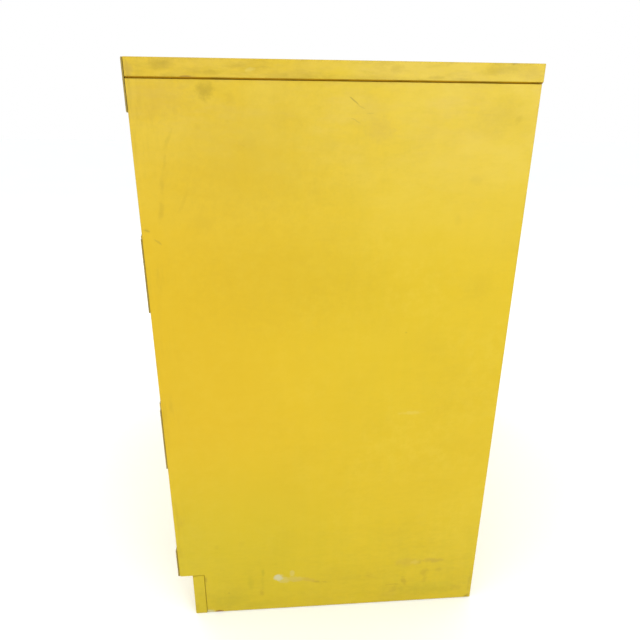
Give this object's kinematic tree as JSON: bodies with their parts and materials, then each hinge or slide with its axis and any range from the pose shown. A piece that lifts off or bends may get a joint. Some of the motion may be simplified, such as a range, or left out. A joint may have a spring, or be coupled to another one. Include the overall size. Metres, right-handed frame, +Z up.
{
  "type": "flammable storage cabinet",
  "caption": "Under-counter cabinet of yellow painted plywood for flammable liquids, with hinged doors, latch rods, a shelf, a spill pan and rear vents.",
  "frame": {"origin": "floor level, under the middle of the whole cabinet's bounding box", "axes": "+Z up, -Y out of the front doors, +X to the side panel that the picture shows"},
  "size_m": [0.889, 0.5964, 0.9144],
  "materials": {
    "yellow_enamel": "satin yellow enamel on plywood, with grime and light scuffs",
    "worn_plate_paint": "yellow enamel over steel plate, worn dark along the edges",
    "painted_vent_cap": "satin yellow enamel",
    "zinc_steel": "zinc plated",
    "galvanised_pan": "galvanised sheet",
    "chrome": "satin chrome",
    "brass": "plain"
  },
  "bodies": {
    "cabinet": {"back_left_shelf_clip": "zinc_steel", "back_left_standard": "zinc_steel", "back_panel": "yellow_enamel", "back_right_shelf_clip": "zinc_steel", "back_right_standard": "zinc_steel", "bottom_panel": "yellow_enamel", "centre_post": "yellow_enamel", "earthing_nut": "brass", "earthing_stud": "brass", "front_left_shelf_clip": "zinc_steel", "front_left_standard": "zinc_steel", "front_right_shelf_clip": "zinc_steel", "front_right_standard": "zinc_steel", "left_side_panel": "yellow_enamel", "lower_flame_screen": "brass", "lower_left_corner_brace": "worn_plate_paint", "lower_left_frame_leaf": "worn_plate_paint", "lower_left_hinge_pin": "zinc_steel", "lower_left_keeper": "zinc_steel", "lower_right_corner_brace": "worn_plate_paint", "lower_right_frame_leaf": "worn_plate_paint", "lower_right_hinge_pin": "zinc_steel", "lower_right_keeper": "zinc_steel", "lower_vent_collar": "zinc_steel", "right_side_panel": "yellow_enamel", "spill_pan": "galvanised_pan", "toe_board": "yellow_enamel", "top_panel": "yellow_enamel", "upper_flame_screen": "brass", "upper_left_corner_brace": "worn_plate_paint", "upper_left_frame_leaf": "worn_plate_paint", "upper_left_hinge_pin": "zinc_steel", "upper_left_keeper": "zinc_steel", "upper_right_corner_brace": "worn_plate_paint", "upper_right_frame_leaf": "worn_plate_paint", "upper_right_hinge_pin": "zinc_steel", "upper_right_keeper": "zinc_steel", "upper_vent_collar": "zinc_steel"},
    "right_door": {"right_door": "yellow_enamel", "upper_right_door_leaf": "worn_plate_paint", "lower_right_door_leaf": "worn_plate_paint", "handle_rose": "chrome", "upper_rod_guide": "zinc_steel", "lower_rod_guide": "zinc_steel"},
    "handle": {"lever_handle": "chrome", "scroll_cam": "zinc_steel"},
    "lock": {"lock_plug": "brass"},
    "upper_rod": {"upper_latch_rod": "zinc_steel"},
    "lower_rod": {"lower_latch_rod": "zinc_steel"},
    "left_door": {"left_door": "yellow_enamel", "upper_left_door_leaf": "worn_plate_paint", "lower_left_door_leaf": "worn_plate_paint", "pull_handle": "chrome", "upper_bolt_case": "zinc_steel", "lower_bolt_case": "zinc_steel"},
    "upper_bolt": {"upper_bolt": "zinc_steel"},
    "lower_bolt": {"lower_bolt": "zinc_steel"},
    "shelf": {"shelf": "yellow_enamel"},
    "upper_vent_cap": {"upper_vent_cap": "painted_vent_cap"},
    "lower_vent_cap": {"lower_vent_cap": "painted_vent_cap"}
  },
  "joints": [
    {"name": "right_door_hinge", "type": "hinge", "parent": "cabinet", "child": "right_door", "pos_m": [0.419, -0.2513, 0.5], "axis": [0, 0, 1], "range_deg": [0, 175]},
    {"name": "left_door_hinge", "type": "hinge", "parent": "cabinet", "child": "left_door", "pos_m": [-0.419, -0.2513, 0.5], "axis": [0, 0, -1], "range_deg": [0, 175]},
    {"name": "handle_turn", "type": "hinge", "parent": "right_door", "child": "handle", "pos_m": [0.0815, -0.24725, 0.5], "axis": [0, 1, 0], "range_deg": [0, 90]},
    {"name": "lock_turn", "type": "hinge", "parent": "handle", "child": "lock", "pos_m": [0.0815, -0.29725, 0.5], "axis": [0, 1, 0], "range_deg": [0, 90]},
    {"name": "upper_rod_slide", "type": "slide", "parent": "right_door", "child": "upper_rod", "axis": [0, 0, 1], "range_m": [0, 0.012]},
    {"name": "lower_rod_slide", "type": "slide", "parent": "right_door", "child": "lower_rod", "axis": [0, 0, -1], "range_m": [0, 0.012]},
    {"name": "upper_bolt_slide", "type": "slide", "parent": "left_door", "child": "upper_bolt", "axis": [0, 0, 1], "range_m": [0, 0.012]},
    {"name": "lower_bolt_slide", "type": "slide", "parent": "left_door", "child": "lower_bolt", "axis": [0, 0, -1], "range_m": [0, 0.012]},
    {"name": "shelf_lift", "type": "slide", "parent": "cabinet", "child": "shelf", "axis": [0, 0, 1], "range_m": [0, 0.03]},
    {"name": "upper_vent_cap_turn", "type": "hinge", "parent": "cabinet", "child": "upper_vent_cap", "pos_m": [-0.3, 0.28615, 0.78], "axis": [0, 1, 0], "continuous": true},
    {"name": "lower_vent_cap_turn", "type": "hinge", "parent": "cabinet", "child": "lower_vent_cap", "pos_m": [0.3, 0.28615, 0.24], "axis": [0, 1, 0], "continuous": true}
  ],
  "couplings": [
    {"joint": "upper_rod_slide", "follows": "handle_turn", "m_per_rad": 0.007639},
    {"joint": "lower_rod_slide", "follows": "handle_turn", "m_per_rad": 0.007639}
  ]
}
